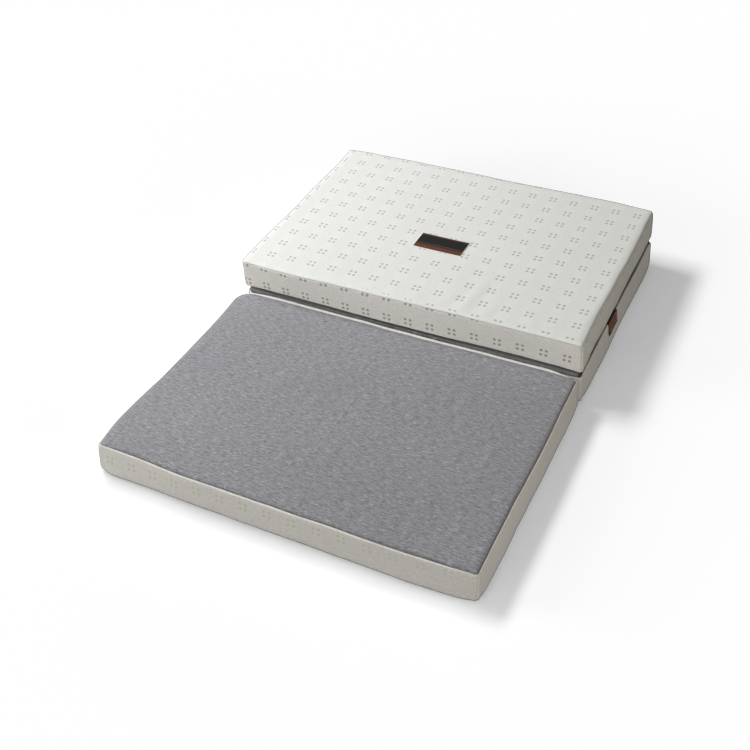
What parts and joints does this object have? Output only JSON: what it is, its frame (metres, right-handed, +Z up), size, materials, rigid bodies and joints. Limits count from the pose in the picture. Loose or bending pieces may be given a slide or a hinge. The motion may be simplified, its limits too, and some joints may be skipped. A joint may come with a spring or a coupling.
{
  "type": "folding foam mattress",
  "caption": "Folding foam mattress in hinged sections, gray heather face and ivory dotted back and gussets, with one section folded over onto its neighbour.",
  "frame": {"origin": "middle of the footprint, on the floor", "axes": "+X across the bed to the right, +Y along the bed from the flat front section to the folded rear end, +Z up"},
  "size_m": [1.003, 1.3867, 0.1786],
  "materials": {
    "gray_cloth": "matte",
    "dotted_cloth": "matte",
    "foam": "matte",
    "zip_tape": "matte",
    "zip_coil": "satin",
    "zip_metal": "satin",
    "label_cloth": "satin",
    "tag_cloth": "satin"
  },
  "bodies": {
    "middle_section": {"middle_dotted_back": "dotted_cloth", "middle_foam_core": "foam", "middle_front_gusset": "dotted_cloth", "middle_gray_face": "gray_cloth", "middle_left_gusset": "dotted_cloth", "middle_rear_gusset": "dotted_cloth", "middle_right_gusset": "dotted_cloth", "middle_zip_coil": "zip_coil", "middle_zip_stops": "zip_metal", "middle_zip_tape": "zip_tape", "front_fold_strip_middle": "dotted_cloth", "rear_fold_strip_middle": "gray_cloth", "side_tag": "tag_cloth"},
    "front_section": {"front_dotted_back": "dotted_cloth", "front_foam_core": "foam", "front_front_gusset": "dotted_cloth", "front_gray_face": "gray_cloth", "front_left_gusset": "dotted_cloth", "front_rear_gusset": "dotted_cloth", "front_right_gusset": "dotted_cloth", "front_zip_coil": "zip_coil", "front_zip_stops": "zip_metal", "front_zip_tape": "zip_tape", "front_fold_strip_front": "dotted_cloth"},
    "folded_section": {"folded_dotted_back": "dotted_cloth", "folded_foam_core": "foam", "folded_front_gusset": "dotted_cloth", "folded_gray_face": "gray_cloth", "folded_left_gusset": "dotted_cloth", "folded_rear_gusset": "dotted_cloth", "folded_right_gusset": "dotted_cloth", "folded_zip_coil": "zip_coil", "folded_zip_stops": "zip_metal", "folded_zip_tape": "zip_tape", "rear_fold_strip_folded": "gray_cloth", "face_label": "label_cloth"},
    "front_zip_slider": {"front_zip_slider": "zip_metal"},
    "front_zip_pull": {"front_zip_pull": "zip_metal"},
    "middle_zip_slider": {"middle_zip_slider": "zip_metal"},
    "middle_zip_pull": {"middle_zip_pull": "zip_metal"},
    "folded_zip_slider": {"folded_zip_slider": "zip_metal"},
    "folded_zip_pull": {"folded_zip_pull": "zip_metal"}
  },
  "joints": [
    {"name": "front_fold", "type": "hinge", "parent": "middle_section", "child": "front_section", "pos_m": [0, -0.0085, 0], "axis": [1, 0, 0], "range_deg": [0, 179.5]},
    {"name": "rear_fold", "type": "hinge", "parent": "middle_section", "child": "folded_section", "pos_m": [0, 0.6935, 0.089], "axis": [-1, 0, 0], "range_deg": [0, 180]},
    {"name": "front_zip_slide", "type": "slide", "parent": "front_section", "child": "front_zip_slider", "axis": [0, 1, 0], "range_m": [0, 0.545]},
    {"name": "front_zip_tab_swing", "type": "hinge", "parent": "front_zip_slider", "child": "front_zip_pull", "pos_m": [-0.4915, -0.626, 0.044], "axis": [0, 0, 1], "range_deg": [0, 180]},
    {"name": "middle_zip_slide", "type": "slide", "parent": "middle_section", "child": "middle_zip_slider", "axis": [0, 1, 0], "range_m": [0, 0.545]},
    {"name": "middle_zip_tab_swing", "type": "hinge", "parent": "middle_zip_slider", "child": "middle_zip_pull", "pos_m": [-0.4915, 0.064, 0.044], "axis": [0, 0, 1], "range_deg": [0, 180]},
    {"name": "folded_zip_slide", "type": "slide", "parent": "folded_section", "child": "folded_zip_slider", "axis": [0, 1, 0], "range_m": [0, 0.545]},
    {"name": "folded_zip_tab_swing", "type": "hinge", "parent": "folded_zip_slider", "child": "folded_zip_pull", "pos_m": [-0.4995, 0.076, 0.134], "axis": [0, 0, 1], "range_deg": [0, 180]}
  ]
}
